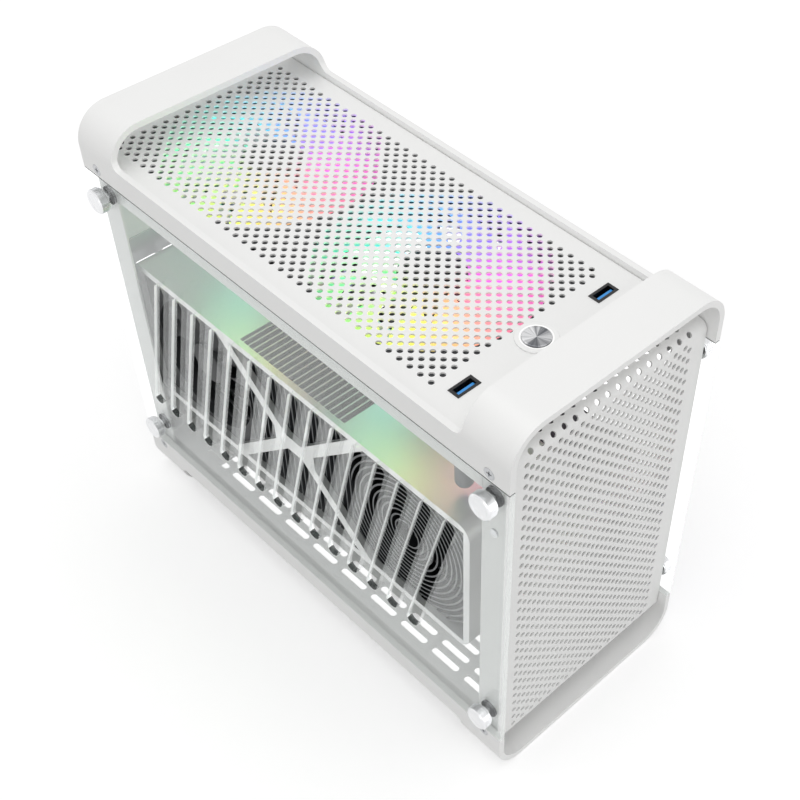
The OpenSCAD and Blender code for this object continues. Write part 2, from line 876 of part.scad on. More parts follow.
// Each port: offset in X, offset in Z, width in X, height in Z
board_scale = board_side / 170;
port_rows = [
  [1, 17, 16, 11], [1, 30, 28, 16], [1, 50, 16, 14], [19, 50, 12, 14],
  [1, 68, 30, 16], [1, 88, 14, 16], [18, 88, 14, 16], [1, 110, 12, 44]];
port_list = [for (p = port_rows) [p[0], p[1] * board_scale, p[2], p[3] * board_scale]];

module io_ports() {
  y0 = y_main + board_side - 20;
  color("dimgray") for (p = port_list) translate([x_top + p[0], y0, z_main + p[1]]) difference() {
    union() {
      cube([p[2], y_rear - 0.8 - y0, p[3]]);
      translate([-p[0], 0, 0]) cube([p[0] + 1, 14, p[3]]);
    }
    translate([2, 12, 2]) cube([p[2] - 4, 20, p[3] - 4]);
  }
}

module memory_modules() {
  socket_l = 133 * board_scale;
  color("black") for (i = [0, 1]) translate([x_top, y_main + 8 + 10 * i, z_main + 20]) {
    translate([0, -1.5, 0]) cube([6, 4.5, socket_l]);
    translate([5, 0, 2]) cube([28, 1.5, socket_l - 4]);
  }
}

module board_slot() {
  color("black") translate([x_top, y_main + 56 * board_scale, z_main + 6])
    cube([11, 90 * board_scale, 7]);
}

module cooler_fins() {
  // Low heatsink with a motor plate and pin for its fan
  y0 = y_main + cooler_y;
  z0 = z_main + cooler_z;
  x0 = x_top;
  side = cooler_side / 2;
  top = cooler_base - 0.1 + cooler_fin_h;
  color("silver") {
    translate([x0, y0 - 20, z0 - 20]) cube([5, 40, 40]);
    translate([x0 + 5, y0 - side, z0 - side]) cube([cooler_base - 5, cooler_side, cooler_side]);
    for (i = [0 : 20])
      translate([x0 + cooler_base - 0.1, y0 - side + i * (cooler_side - fin_t) / 20, z0 - side])
        cube([cooler_fin_h, fin_t, cooler_side]);
    rod_x(x0 + cooler_base - 0.1, cooler_fin_h + 3, y0, z0, small_hub);
    rod_x(x0 + top + 2.1, 12, y0, z0, cooler_pin);
  }
}

module cooler_fan() {
  x = x_top + cooler_base - 0.1 + cooler_fin_h + 3 + rest_gap;
  color("black") translate([x, y_main + cooler_y, z_main + cooler_z])
    rotate([0, 90, 0]) rotor(small_hub, cooler_fan_d, cooler_fan_t, cooler_pin);
}

// Power supply

module supply_case() {
  y_fan = y_supply + supply_length / 2;
  z_fan = z_supply + supply_h / 2;
  x1 = x_div_out + supply_w;
  color("dimgray") {
    difference() {
      translate([x_div_out, y_supply, z_supply]) cube([supply_w, supply_length, supply_h]);
      rod_x(x1 - 18, 19, y_fan, z_fan, supply_fan_d + 4);
      translate([x_div_out + 20, y_supply + supply_length - 8, z_supply + 8]) cube([27, 9, 20]);
      for (i = [0 : 3]) translate([x_div_out + 8, y_supply + supply_length - 6, z_supply + 40 + 20 * i])
        cube([36, 7, 10]);
    }
    rod_x(x1 - 18.1, 11, y_fan, z_fan, 3);
    rod_x(x1 - 18.1, 3, y_fan, z_fan, supply_hub);
  }
}

module supply_fan() {
  x = x_div_out + supply_w - 15.1 + rest_gap;
  color("black") translate([x, y_supply + supply_length / 2, z_supply + supply_h / 2])
    rotate([0, 90, 0]) rotor(supply_hub, supply_fan_d, supply_fan_t, cooler_pin);
}

module supply_guard() {
  x0 = x_div_out + supply_w;
  y_fan = y_supply + supply_length / 2;
  z_fan = z_supply + supply_h / 2;
  color("black") {
    along_x(x0, guard_t) translate([y_fan, z_fan]) for (r = [10 : 8 : 42]) difference() {
      circle(r = r + 1.6);
      circle(r = r);
    }
    for (a = [45, 135]) translate([x0, y_fan, z_fan]) rotate([a, 0, 0])
      translate([0, -46, -1]) cube([guard_t, 92, 2]);
  }
}

// Mains inlet on the rear panel and the lead that runs on to the power supply

inlet_w = 27.5;
inlet_h = 20;
function inlet_x() = x_web - 12 - inlet_w;
function inlet_z() = z_tray + 2;

module mains_inlet() {
  y0 = y_rear;
  xm = inlet_x() + inlet_w / 2;
  zm = inlet_z() + inlet_h / 2;
  color("black") {
    difference() {
      union() {
        translate([xm - 19, y0, zm - 12]) cube([38, 2, 24]);
        translate([xm - inlet_w / 2 + 0.2, y0 - 24, zm - inlet_h / 2 + 0.2])
          cube([inlet_w - 0.4, 25, inlet_h - 0.4]);
      }
      translate([xm - 12, y0 - 16, zm - 8]) cube([24, 19, 16]);
    }
    for (x = [-7, 0, 7]) translate([xm + x - 1, y0 - 17, zm - 6]) cube([2, 15, 4]);
  }
}

module mains_lead() {
  // Straight run beside the tray, then up behind the supply to its socket
  xm = inlet_x() + inlet_w / 2;
  zm = inlet_z() + inlet_h / 2;
  ys = y_supply + supply_length;
  zs = z_supply + 18;
  xs = x_div_out + 33.5;
  bend = 14;
  yb = ys + 22;
  color("black") {
    translate([xm, y_rear - 24, zm]) rotate([90, 0, 0])
      cylinder(d = lead_d, h = y_rear - 24 - yb - bend);
    translate([xm, yb + bend, zm + bend]) rotate([0, -90, 0]) rotate([0, 0, 180])
      rotate_extrude(angle = 90) translate([bend, 0]) circle(d = lead_d, $fn = 32);
    translate([xm, yb, zm + bend]) cylinder(d = lead_d, h = zs - zm - bend);
    translate([xm, yb, zs]) rotate([0, -90, 0]) cylinder(d = lead_d, h = xm - xs);
    translate([xm, yb, zs]) sphere(d = lead_d);
    translate([xs, yb, zs]) sphere(d = lead_d);
    translate([xs, yb, zs]) rotate([90, 0, 0]) cylinder(d = lead_d, h = yb - ys - 2);
    translate([xs - 12, ys - 8, zs - 8]) cube([24, 16, 16]);
  }
}

top_band();
bottom_band();
top_plate();
front_hood();
front_grille();
rear_panel();
base_tray();
front_pillars();
top_rails();
divider();
glass_left();
glass_right();
thumbscrews_left();
thumbscrews_right();
glass_washers();
band_screws();
pillar_screws();
power_button();
button_ring();
usb_shells();
usb_tongues();
usb_housings();
fan_frame_rear();
fan_frame_front();
fan_rotor_rear();
fan_rotor_front();
card_frame();
card_fins();
card_rings();
card_duct();
card_backplate();
card_board();
card_bracket();
card_fan_rear();
card_fan_front();
riser_socket();
riser_ribbon();
main_board();
board_standoffs();
io_ports();
io_shield();
memory_modules();
board_slot();
cooler_fins();
cooler_fan();
supply_case();
supply_fan();
supply_guard();
mains_inlet();
mains_lead();
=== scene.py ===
import json
import math
import random
import bpy
import bmesh
from mathutils import Matrix, Vector

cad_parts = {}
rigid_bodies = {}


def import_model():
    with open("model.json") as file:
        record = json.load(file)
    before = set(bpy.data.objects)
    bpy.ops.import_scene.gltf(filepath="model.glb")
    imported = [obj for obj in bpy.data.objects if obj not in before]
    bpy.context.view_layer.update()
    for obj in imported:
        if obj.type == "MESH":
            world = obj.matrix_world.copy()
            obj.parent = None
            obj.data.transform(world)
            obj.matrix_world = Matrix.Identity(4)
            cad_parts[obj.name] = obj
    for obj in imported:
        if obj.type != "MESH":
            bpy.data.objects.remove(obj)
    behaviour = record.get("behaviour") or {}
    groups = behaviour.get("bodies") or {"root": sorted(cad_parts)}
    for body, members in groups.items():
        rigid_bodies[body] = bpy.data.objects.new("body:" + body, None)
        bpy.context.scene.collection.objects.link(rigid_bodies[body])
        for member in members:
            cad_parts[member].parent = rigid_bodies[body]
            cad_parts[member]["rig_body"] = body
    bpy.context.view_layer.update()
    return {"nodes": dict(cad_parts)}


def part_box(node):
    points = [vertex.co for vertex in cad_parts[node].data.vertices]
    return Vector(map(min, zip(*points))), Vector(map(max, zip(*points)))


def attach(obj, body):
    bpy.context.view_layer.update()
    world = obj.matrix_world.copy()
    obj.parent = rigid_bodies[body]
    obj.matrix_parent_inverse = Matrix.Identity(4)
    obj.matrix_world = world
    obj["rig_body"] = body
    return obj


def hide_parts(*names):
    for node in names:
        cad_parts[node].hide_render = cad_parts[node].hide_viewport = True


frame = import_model()
nodes = frame["nodes"]
scene = bpy.context.scene
mm = 0.001
white = (1, 1, 1, 1)
random.seed(11)


def hexColour(code):
    # sRGB hex to the linear RGBA that the shader sockets take
    levels = [int(code[i:i + 2], 16) / 255 for i in (1, 3, 5)]
    return [c / 12.92 if c <= 0.04045 else ((c + 0.055) / 1.055) ** 2.4 for c in levels] + [1.0]


# Helpers for shader nodes. In settings, a key that is a socket sets that socket and any other
# key sets the node; links joins an output to a socket.

def addNode(tree, kind, settings=None, links=None):
    node = tree.nodes.new("ShaderNode" + kind)
    settings = settings or {}
    inputs = {k: v for k, v in settings.items() if isinstance(k, int) or k in node.inputs}
    for key, value in settings.items():
        if key not in inputs:
            setattr(node, key, value)
    for key, value in inputs.items():
        node.inputs[key].default_value = value
    for key, socket in (links or {}).items():
        tree.links.new(socket, node.inputs[key])
    return node


def addRange(tree, value, low, high, start=0.0, end=1.0):
    # value from start to end turned into low to high
    ends = {"From Min": start, "From Max": end, "To Min": low, "To Max": high}
    return addNode(tree, "MapRange", ends, {"Value": value}).outputs[0]


def addMath(tree, operation, first, second):
    return addNode(tree, "Math", {"operation": operation}, {0: first, 1: second}).outputs[0]


def addNoise(tree, place, sizeMm, detail):
    noise = addNode(tree, "TexNoise", {"Scale": 1000 / sizeMm, "Detail": detail}, {"Vector": place})
    return noise.outputs["Fac"]


def addTint(tree, share, first, second):
    return addNode(tree, "Mix", {"data_type": "RGBA", 6: hexColour(first), 7: hexColour(second)},
                   {0: share}).outputs[2]


def addBump(tree, height, strength, depthMm):
    return addNode(tree, "Bump", {"Strength": strength, "Distance": depthMm * mm},
                   {"Height": height}).outputs[0]


def aboutMiddle(tree, place, centreMm):
    # The place measured from the centre, and its distance from the upright axis through it
    local = addNode(tree, "Mapping", {"Location": [-c * mm for c in centreMm]}, {"Vector": place})
    flat = addNode(tree, "VectorMath", {"operation": "MULTIPLY", 1: (1, 1, 0)}, {0: local.outputs[0]})
    reach = addNode(tree, "VectorMath", {"operation": "LENGTH"}, {0: flat.outputs[0]})
    return local.outputs[0], reach.outputs["Value"]


def seenDirectly(tree, path):
    # 1 for rays that look, also by way of a mirror or a pane, 0 for rays that only gather light
    seen = addMath(tree, "MAXIMUM", path.outputs["Is Camera Ray"], path.outputs["Is Glossy Ray"])
    return addMath(tree, "MAXIMUM", seen, path.outputs["Is Transmission Ray"])


def startFinish(name):
    mat = bpy.data.materials.new(name)
    mat.use_nodes = True
    tree = mat.node_tree
    place = addNode(tree, "TexCoord").outputs["Object"]
    return mat, tree, tree.nodes["Principled BSDF"], place


grainStrength = 0.5
# How squarely a face has to look along bareAxis, squared: where bare metal begins and is full
bareShare = (0.7, 0.9)


def makeFinish(name, look):
    # Colour drift over centimetres, grain over tenths of a millimetre, each at its real size
    mat, tree, shader, place = startFinish(name)
    if "stretch" in look:
        place = addNode(tree, "Mapping", {"Scale": look["stretch"]}, {"Vector": place}).outputs[0]
    drift = addNoise(tree, place, look["driftMm"], 3.0)
    grain = addNoise(tree, place, look["grainMm"], 2.0)
    tint = addTint(tree, drift, look["colour"], look["drift"])
    if "bareAxis" in look:
        # Sheared edges, the faces across this axis, are bare and paler than the coated faces
        facing = addNode(tree, "VectorMath", {"operation": "DOT_PRODUCT", 1: look["bareAxis"]},
                         {0: addNode(tree, "NewGeometry").outputs["Normal"]})
        square = addNode(tree, "Math", {"operation": "POWER", 1: 2.0}, {0: facing.outputs["Value"]})
        bare = addRange(tree, square.outputs[0], 0.0, 1.0, *bareShare)
        tint = addNode(tree, "Mix", {"data_type": "RGBA", 7: hexColour(look["bareColour"])},
                       {0: bare, 6: tint}).outputs[2]
    tree.links.new(tint, shader.inputs["Base Color"])
    tree.links.new(addRange(tree, grain, *look["rough"]), shader.inputs["Roughness"])
    tree.links.new(addBump(tree, grain, grainStrength, look["bumpMm"]), shader.inputs["Normal"])
    for socket, value in look.get("shader", {}).items():
        shader.inputs[socket].default_value = value
    return mat


# Helpers for meshes

def addPiece(bm, name, replaced, mats, body=None, sharp=35):
    mesh = bpy.data.meshes.new(name)
    bm.to_mesh(mesh)
    bm.free()
    mesh.polygons.foreach_set("use_smooth", [True] * len(mesh.polygons))
    mesh.set_sharp_from_angle(angle=math.radians(sharp))
    for mat in mats:
        mesh.materials.append(mat)
    piece = bpy.data.objects.new(name, mesh)
    scene.collection.objects.link(piece)
    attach(piece, body or nodes[replaced[0]]["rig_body"])
    if replaced:
        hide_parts(*replaced)
    return piece


# A face of a glass panel is clear if its normal lies along X by flatShare, and the lower end of a
# slot if it points up by endShare; the outer rim lies within rimMargin of the panel's reach
flatShare, endShare, rimMargin = 0.95, 0.45, 4 * mm


def glassPart(face, reach):
    # 0 clear faces, 1 walls of slots and holes, 2 outer rim, 3 lower ends of the slots
    if abs(face.normal.x) > flatShare:
        # Faces that look up, the slot ends and the top edge of the panel, take the finish that is
        # painted dark
        return 0
    if face.normal.z > endShare:
        return 3
    place = face.calc_center_median()
    for axis, (low, high) in reach.items():
        if not low + rimMargin < place[axis] < high - rimMargin:
            return 2
    return 1


# Edges sharper than breakAngle are broken, faces flatter than joinAngle are joined, in degrees;
# points closer than these distances are one point
breakAngle, joinAngle = 40, 0.5
solidWeld, spunWeld = 0.002 * mm, 0.001 * mm


def softenNode(node, name, width, mats, sharp):
    # The CAD solid with its sharp edges broken, as a deburred or moulded part has them
    bm = bmesh.new()
    source = nodes[node].data
    bm.from_mesh(source)
    bmesh.ops.remove_doubles(bm, verts=bm.verts, dist=solidWeld)
    bmesh.ops.dissolve_limit(bm, angle_limit=math.radians(joinAngle), verts=bm.verts, edges=bm.edges)
    edges = [e for e in bm.edges if len(e.link_faces) == 2
             and e.calc_face_angle(0) > math.radians(breakAngle)]
    bmesh.ops.bevel(bm, geom=edges, offset=width * mm, offset_type="OFFSET", segments=2,
                    profile=0.5, affect="EDGES", clamp_overlap=True, material=-1)
    isGlass = len(mats) > 1
    spans = {axis: [v.co[axis] for v in source.vertices] for axis in (1, 2)}
    reach = {axis: (min(span), max(span)) for axis, span in spans.items()}
    for face in bm.faces:
        face.material_index = glassPart(face, reach) if isGlass else 0
    piece = addPiece(bm, name, [node], mats, sharp=sharp)
    if not isGlass:
        even = piece.modifiers.new("evenShading", "WEIGHTED_NORMAL")
        even.keep_sharp = True
    return piece


def addSpun(bm, profile, steps, place=Matrix.Identity(4), index=0):
    # A closed turned shape from (radius, height) points in millimetres
    verts = [bm.verts.new((r * mm, 0, h * mm)) for r, h in profile]
    edges = [bm.edges.new(pair) for pair in zip(verts, verts[1:])]
    turned = bmesh.ops.spin(bm, geom=verts + edges, cent=(0, 0, 0), axis=(0, 0, 1),
                            angle=2 * math.pi, steps=steps, use_merge=True, use_duplicate=False)
    last = [v for v in turned["geom_last"] if isinstance(v, bmesh.types.BMVert)]
    whole = set(verts)
    for face in {f for v in last for f in v.link_faces}:
        whole.update(face.verts)
    grown = True
    while grown:
        near = {w for v in whole for e in v.link_edges for w in e.verts} - whole
        whole |= near
        grown = bool(near)
    bmesh.ops.remove_doubles(bm, verts=list(whole), dist=spunWeld)
    whole = [v for v in whole if v.is_valid]
    faces = list({f for v in whole for f in v.link_faces})
    bmesh.ops.recalc_face_normals(bm, faces=faces)
    for face in faces:
        face.material_index = index
    bmesh.ops.transform(bm, matrix=place, verts=whole)
    return faces


def addBlock(bm, low, high, edge, index=0):
    # A block between two corners in millimetres with its edges broken
    low, high = Vector(low) * mm, Vector(high) * mm
    place = Matrix.Translation((low + high) / 2) @ Matrix.Diagonal((*(high - low), 1))
    made = bmesh.ops.create_cube(bm, size=1, matrix=place)
    faces = {f for v in made["verts"] for f in v.link_faces}
    edges = list({e for f in faces for e in f.edges})
    out = bmesh.ops.bevel(bm, geom=edges, offset=edge * mm, segments=2, profile=0.5, affect="EDGES",
                          material=-1)
    for face in ({f for v in out["verts"] if v.is_valid for f in v.link_faces}
                 | {f for f in faces if f.is_valid}):
        face.material_index = index


# Local +Z turned to the axis that a piece lies on
axisTurn = {"+Z": Matrix.Identity(4), "+X": Matrix.Rotation(math.pi / 2, 4, "Y"),
            "-X": Matrix.Rotation(-math.pi / 2, 4, "Y")}

print("stage: camera and light")

# The camera at the photograph's angle: degrees, and millimetres for target and distance
viewLook = {"azimuth": -47.956, "elevation": 48.256, "roll": 3.158, "target": (28.1, -93.3, 135.5),
            "distance": 826.5, "lens": 59.9, "shift": (-0.1605, 0.081)}
azimuth, elevation, roll = (math.radians(viewLook[k]) for k in ("azimuth", "elevation", "roll"))
back = Vector((math.sin(azimuth) * math.cos(elevation), -math.cos(azimuth) * math.cos(elevation),
               math.sin(elevation)))
right = (-back).cross(Vector((0, 0, 1))).normalized()
up = right.cross(-back)
rightRolled = right * math.cos(roll) + up * math.sin(roll)
upRolled = up * math.cos(roll) - right * math.sin(roll)
cameraData = bpy.data.cameras.new("photoCamera")
cameraData.lens = viewLook["lens"]
cameraData.shift_x, cameraData.shift_y = viewLook["shift"]
cameraData.clip_start = 0.02
camera = bpy.data.objects.new("photoCamera", cameraData)
cameraTurn = Matrix((rightRolled, upRolled, back)).transposed().to_4x4()
cameraPlace = (Vector(viewLook["target"]) + back * viewLook["distance"]) * mm
camera.matrix_world = Matrix.Translation(cameraPlace) @ cameraTurn
scene.collection.objects.link(camera)
scene.camera = camera
scene.view_settings.view_transform = "Standard"

# Soft studio light and a pale floor. Each lamp has its place and side in metres and its power in
# watts. The sky lights the case with "sky" and is seen as "backdrop". The floor is lifted by
# floorLift near the case and by floorFar beyond it, between the two distances of floorFade.
lightLook = {
    "lamps": {"topSoftbox": {"place": (-0.2, -0.1, 1.7), "side": 1.8, "power": 10.0},
              "sideSoftbox": {"place": (-1.6, -1.0, 1.0), "side": 1.4, "power": 3.4},
              "frontSoftbox": {"place": (0.8, -2.0, 0.55), "side": 1.2, "power": 5.0}},
    "aim": (0, 0, 0.15), "sky": 0.64, "backdrop": 1.0,
    "floorColour": "#D0D0D0", "floorHalf": 8, "floorLift": 0.47, "floorFar": 0.66,
    "floorFade": (0.4, 1.6), "paintedLightThroughGlass": 0.5}

world = bpy.data.worlds.new("studioWorld")
scene.world = world
world.use_nodes = True
sky = world.node_tree
sky.nodes.clear()
seen = seenDirectly(sky, addNode(sky, "LightPath"))
strength = addRange(sky, seen, lightLook["sky"], lightLook["backdrop"])
glow = addNode(sky, "Background", {"Color": white}, {"Strength": strength})
addNode(sky, "OutputWorld", None, {"Surface": glow.outputs[0]})

for lampName, lampLook in lightLook["lamps"].items():
    lampData = bpy.data.lights.new(lampName, "AREA")
    lampData.size = lampLook["side"]
    lampData.energy = lampLook["power"]
    lamp = bpy.data.objects.new(lampName, lampData)
    lampTurn = (Vector(lightLook["aim"]) - Vector(lampLook["place"])).to_track_quat("-Z", "Y")
    lamp.matrix_world = Matrix.Translation(lampLook["place"]) @ lampTurn.to_matrix().to_4x4()
    scene.collection.objects.link(lamp)

floorFinish = bpy.data.materials.new("matt white studio floor")
floorFinish.use_nodes = True
tree = floorFinish.node_tree
tree.nodes.clear()
path = addNode(tree, "LightPath")
away = addNode(tree, "VectorMath", {"operation": "LENGTH"},
               {0: addNode(tree, "TexCoord").outputs["Object"]})
lift = addRange(tree, away.outputs["Value"], lightLook["floorLift"], lightLook["floorFar"],
                *lightLook["floorFade"])
# Painted light: the floor seen through the glass is lifted further, which paints out the shadow under
# the case, so that the white slots of the tray show white through the glass
through = addNode(tree, "Math", {"operation": "GREATER_THAN", 1: 0.5},
                  {0: path.outputs["Transparent Depth"]})
lift = addNode(tree, "Math", {"operation": "MULTIPLY_ADD", 1: lightLook["paintedLightThroughGlass"]},
               {0: through.outputs[0], 2: lift}).outputs[0]
lift = addMath(tree, "MULTIPLY", seenDirectly(tree, path), lift)
matt = addNode(tree, "BsdfDiffuse", {"Color": hexColour(lightLook["floorColour"])})
bright = addNode(tree, "Emission", {"Color": white}, {"Strength": lift})
both = addNode(tree, "AddShader", None, {0: matt.outputs[0], 1: bright.outputs[0]})
addNode(tree, "OutputMaterial", None, {"Surface": both.outputs[0]})
bm = bmesh.new()
bmesh.ops.create_grid(bm, x_segments=1, y_segments=1, size=lightLook["floorHalf"])
floorMesh = bpy.data.meshes.new("studioFloor")
bm.to_mesh(floorMesh)
bm.free()
floorMesh.materials.append(floorFinish)
studioFloor = bpy.data.objects.new("studioFloor", floorMesh)
scene.collection.objects.link(studioFloor)

print("stage: finishes")

finishes = {
    # Powder coat over bent aluminium: satin, with a fine orange peel
    "whiteBand": makeFinish("satin white powder coat on aluminium", {
        "colour": "#F0F0EF", "drift": "#ECECEB", "driftMm": 60, "grainMm": 0.9, "bumpMm": 0.012,
        "rough": (0.32, 0.42), "shader": {"Coat Weight": 0.15, "Coat Roughness": 0.3}}),
    # The same coat on thin steel sheet, a little flatter
    "whiteSheet": makeFinish("satin white powder coat on steel sheet", {
        "colour": "#EFEFEE", "drift": "#EAEAE9", "driftMm": 50, "grainMm": 0.8, "bumpMm": 0.015,
        "rough": (0.4, 0.52)}),
    # Turned aluminium, left bright: fine rings from the lathe
    "brightScrew": makeFinish("turned bright aluminium", {
        "colour": "#F1F1F2", "drift": "#E2E3E5", "driftMm": 6, "grainMm": 0.25, "bumpMm": 0.01,
        "rough": (0.16, 0.3), "shader": {"Metallic": 1.0}}),
    # Cut rubber sheet: dull, slightly dusty
    "darkRubber": makeFinish("black rubber sheet", {
        "colour": "#2A2A2B", "drift": "#353536", "driftMm": 5, "grainMm": 0.4, "bumpMm": 0.02,
        "rough": (0.65, 0.85)}),
    # Zinc plated steel of the small screws
    "smallScrew": makeFinish("zinc plated steel screw", {
        "colour": "#C9CACC", "drift": "#B4B6B9", "driftMm": 3, "grainMm": 0.3, "bumpMm": 0.01,
        "rough": (0.22, 0.38), "shader": {"Metallic": 1.0}}),
    # The two port shells: deeper black and glossier
    "blackPort": makeFinish("gloss black moulded ABS", {
        "colour": "#0B0B0C", "drift": "#111113", "driftMm": 6, "grainMm": 0.4, "bumpMm": 0.006,
        "rough": (0.22, 0.34)}),
    # Moulded black plastic with a fine spark texture
    "blackPlastic": makeFinish("black moulded plastic, spark texture", {
        "colour": "#1B1C1E", "drift": "#232427", "driftMm": 20, "grainMm": 0.45, "bumpMm": 0.02,
        "rough": (0.42, 0.6)}),
    # Blue plastic carrier of the port contacts
    "blueTongue": makeFinish("blue moulded nylon", {
        "colour": "#2F8EDC", "drift": "#3C9CE6", "driftMm": 4, "grainMm": 0.4, "bumpMm": 0.008,
        "rough": (0.3, 0.42)}),
    "goldContact": makeFinish("gold plated contact", {
        "colour": "#E3B95C", "drift": "#D8AB4B", "driftMm": 2, "grainMm": 0.3, "bumpMm": 0.004,
        "rough": (0.2, 0.3), "shader": {"Metallic": 1.0}}),
    # Soft PVC over-moulding of the port leads
    "greyHousing": makeFinish("dark grey PVC over-moulding", {
        "colour": "#55575A", "drift": "#606265", "driftMm": 14, "grainMm": 0.6, "bumpMm": 0.02,
        "rough": (0.45, 0.6)}),
    "darkFan": makeFinish("dark grey moulded fan frame", {
        "colour": "#1F2023", "drift": "#28292C", "driftMm": 30, "grainMm": 0.6, "bumpMm": 0.015,
        "rough": (0.38, 0.5)}),
    # Bead blasted, clear anodised aluminium of the card's frame
    "silverCard": makeFinish("bead blasted silver anodised aluminium", {
        "colour": "#D3D4D3", "drift": "#C6C8C7", "driftMm": 35, "grainMm": 0.35, "bumpMm": 0.01,
        "rough": (0.3, 0.42), "shader": {"Metallic": 0.75}}),
    # Stamped aluminium fins under a dark coat
    "darkFins": makeFinish("dark coated aluminium fin", {
        "colour": "#48494C", "drift": "#3C3E41", "driftMm": 18, "grainMm": 0.5, "bumpMm": 0.01,
        "rough": (0.35, 0.5), "bareAxis": (0, 0, 1), "bareColour": "#B2B4B4",
        "shader": {"Metallic": 0.3}}),
    "darkRings": makeFinish("dark coated aluminium ring fin", {
        "colour": "#1C1D1F", "drift": "#151618", "driftMm": 18, "grainMm": 0.5, "bumpMm": 0.01,
        "rough": (0.3, 0.45), "bareAxis": (1, 0, 0), "bareColour": "#585A5C",
        "shader": {"Metallic": 0.4}}),
    "platedSteel": makeFinish("nickel plated steel sheet", {
        "colour": "#C4C5C6", "drift": "#B2B4B6", "driftMm": 16, "grainMm": 0.4, "bumpMm": 0.008,
        "rough": (0.28, 0.4), "shader": {"Metallic": 1.0}}),
    "brassPosts": makeFinish("turned brass", {
        "colour": "#C9A050", "drift": "#B98F43", "driftMm": 3, "grainMm": 0.3, "bumpMm": 0.008,
        "rough": (0.2, 0.34), "shader": {"Metallic": 1.0}}),
    "bareFins": makeFinish("skived bare aluminium", {
        "colour": "#CFD0D2", "drift": "#BDBEC1", "driftMm": 14, "grainMm": 0.3, "bumpMm": 0.01,
        "stretch": (1, 1, 0.08), "rough": (0.24, 0.4), "shader": {"Metallic": 1.0}}),
    "greySupply": makeFinish("dark grey powder coat on steel", {
        "colour": "#3B3C3F", "drift": "#424346", "driftMm": 30, "grainMm": 0.7, "bumpMm": 0.025,
        "rough": (0.48, 0.62)}),
    "blackWire": makeFinish("black coated steel wire", {
        "colour": "#202124", "drift": "#2A2B2E", "driftMm": 8, "grainMm": 0.4, "bumpMm": 0.01,
        "rough": (0.3, 0.42)}),
    "blackLead": makeFinish("black PVC lead sheath", {
        "colour": "#1D1E20", "drift": "#26272A", "driftMm": 12, "grainMm": 0.6, "bumpMm": 0.02,
        "rough": (0.4, 0.55)}),
    "ferriteGrey": makeFinish("pressed ferrite", {
        "colour": "#4B4D50", "drift": "#3F4144", "driftMm": 3, "grainMm": 0.3, "bumpMm": 0.02,
        "rough": (0.5, 0.7)}),
}


def glassFinish(name, look):
    # Clear glass as a thin sheet: what lies behind shows through, the studio reflects by its angle,
    # and a faint film of dust lies on it. On the walls, rim and slot ends the same cover is painted
    # light and painted shade instead. Light passes on to the inside a little weakened.
    mat, tree, shader, place = startFinish(name)
    film = addNoise(tree, place, look["filmMm"], 4.0)
    tint = addTint(tree, film, look["colour"], look["drift"])
    rough = addRange(tree, film, *look["rough"])
    fromAir = addNode(tree, "Fresnel", {"IOR": look["ior"]})
    fromGlass = addNode(tree, "Fresnel", {"IOR": 1 / look["ior"]})
    side = addNode(tree, "NewGeometry").outputs["Backfacing"]
    angle = addNode(tree, "Mix", {"data_type": "FLOAT"},
                    {0: side, 2: fromAir.outputs[0], 3: fromGlass.outputs[0]})
    cover = addRange(tree, side, *look["film"])
    if "paintedBrightMm" in look:
        # Painted light: the wall of a slot is painted brightest towards the outer face of the panel,
        # by a cover that grows there
        across = addNode(tree, "SeparateXYZ", None, {0: place})
        depth = addNode(tree, "Math", {"operation": "ABSOLUTE"}, {0: across.outputs["X"]})
        inner, outer = (paneOuter - d * mm for d in look["paintedBrightMm"])
        fade = addRange(tree, depth.outputs[0], look["paintedDeepShare"], 1.0, inner, outer)
        cover = addMath(tree, "MULTIPLY", cover, fade)
    tree.links.new(tint, shader.inputs["Base Color"])
    tree.links.new(rough, shader.inputs["Roughness"])
    tree.links.new(cover, shader.inputs["Alpha"])
    tree.links.new(tint, shader.inputs["Emission Color"])
    shader.inputs["Emission Strength"].default_value = look["paintedRimGlow"]
    gloss = addNode(tree, "BsdfGlossy", {"Color": hexColour(look["gloss"])}, {"Roughness": rough})
    pane = addNode(tree, "MixShader", None,
                   {0: angle.outputs[0], 1: shader.outputs[0], 2: gloss.outputs[0]})
    passed = addNode(tree, "BsdfTransparent", {"Color": hexColour(look["shade"])})
    path = addNode(tree, "LightPath")
    lit = addMath(tree, "MAXIMUM", path.outputs["Is Shadow Ray"], path.outputs["Is Diffuse Ray"])
    mixed = addNode(tree, "MixShader", None, {0: lit, 1: pane.outputs[0], 2: passed.outputs[0]})
    tree.links.new(mixed.outputs[0], tree.nodes["Material Output"].inputs["Surface"])
    return mat


def ringFinish(name, look):
    # Fine concentric rings about an upright axis through the centre, left by a spinning brush, as
    # bumps, with a painted sheen in the colour
    mat = makeFinish(name, look)
    tree = mat.node_tree
    shader = tree.nodes["Principled BSDF"]
    local, reach = aboutMiddle(tree, addNode(tree, "TexCoord").outputs["Object"], look["centre"])
    rings = addNode(tree, "TexNoise", {"noise_dimensions": "1D", "Scale": 1000 / look["ringMm"],
                                       "Detail": 3.0}, {"W": reach})
    bump = addBump(tree, rings.outputs["Fac"], look["ringStrength"], look["ringDepthMm"])
    tree.links.new(bump, shader.inputs["Normal"])
    # Painted sheen: light and dark rays from the middle are painted into the base colour in place of
    # the highlights on the brushed rings
    turn = addNode(tree, "TexGradient", {"gradient_type": "RADIAL"}, {"Vector": local})
    rays = addNode(tree, "TexNoise", {"noise_dimensions": "1D", "Scale": look["rays"], "Detail": 4.0,
                                      "Roughness": 0.6}, {"W": turn.outputs["Fac"]})
    paintedSheen = addRange(tree, rays.outputs["Fac"], 0.0, 1.0, *look["paintedSheenShare"])
    tint = addTint(tree, paintedSheen, look["colour"], look["paintedDarkRayColour"])
    tree.links.new(tint, shader.inputs["Base Color"])
    return mat


